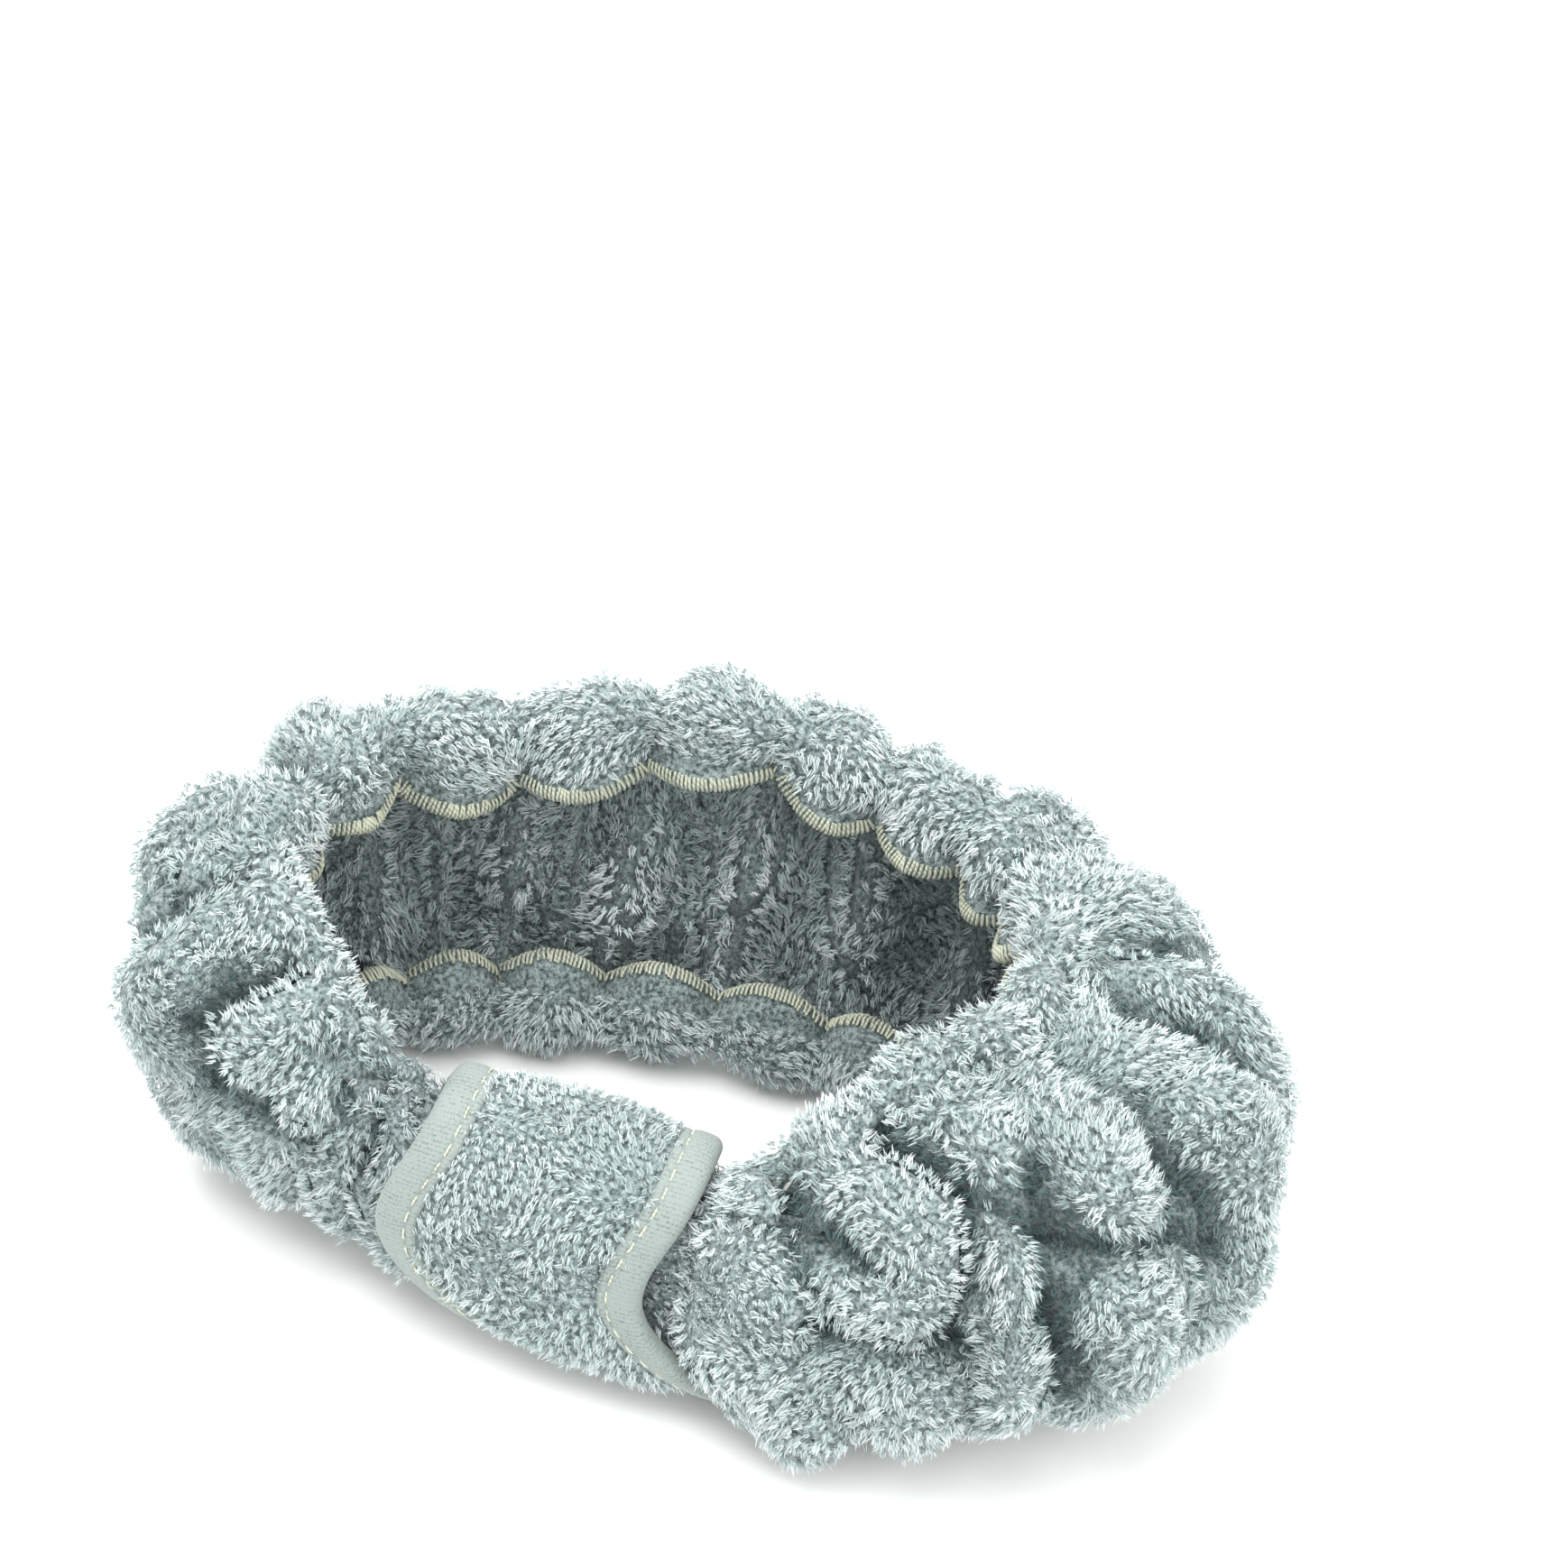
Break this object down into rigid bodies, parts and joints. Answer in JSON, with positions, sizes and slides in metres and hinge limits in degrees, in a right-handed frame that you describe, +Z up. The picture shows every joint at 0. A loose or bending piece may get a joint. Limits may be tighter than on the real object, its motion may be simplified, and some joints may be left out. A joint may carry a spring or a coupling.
{
  "type": "spa headband",
  "caption": "Gathered ring of thick fleece with an elastic in each hem and a smooth front sleeve whose edges are bound with knitted tape.",
  "frame": {"origin": "middle of the underside of the bounding box, on the surface the band stands on", "axes": "+X along the band's long axis to the wearer's left end, +Y from the front sleeve to the back of the ring, +Z up"},
  "size_m": [0.2408, 0.139, 0.09],
  "materials": {
    "fleece": "two-tone microfibre fleece, deep pile",
    "binding": "brushed knitted tape",
    "thread": "cream sewing thread, matt",
    "elastic": "white braided elastic"
  },
  "bodies": {
    "front": {"fleece_front_right": "fleece", "fleece_front_left": "fleece", "fleece_side_right": "fleece", "fleece_side_left": "fleece", "band_end_seam": "thread", "sleeve_panel": "fleece", "sleeve_seam": "thread", "upper_elastic": "elastic", "upper_overlock": "thread", "lower_elastic": "elastic", "lower_overlock": "thread", "sleeve_binding_left": "binding", "binding_stitching_left": "thread", "sleeve_binding_right": "binding", "binding_stitching_right": "thread"},
    "back": {"fleece_back": "fleece"}
  },
  "joints": [
    {"name": "stretch", "type": "slide", "parent": "front", "child": "back", "axis": [0, 1, 0], "range_m": [0, 0.07], "stiffness_N_per_m": 120, "deforming": ["fleece_side_left", "fleece_side_right", "upper_elastic", "lower_elastic", "upper_overlock", "lower_overlock"]}
  ]
}
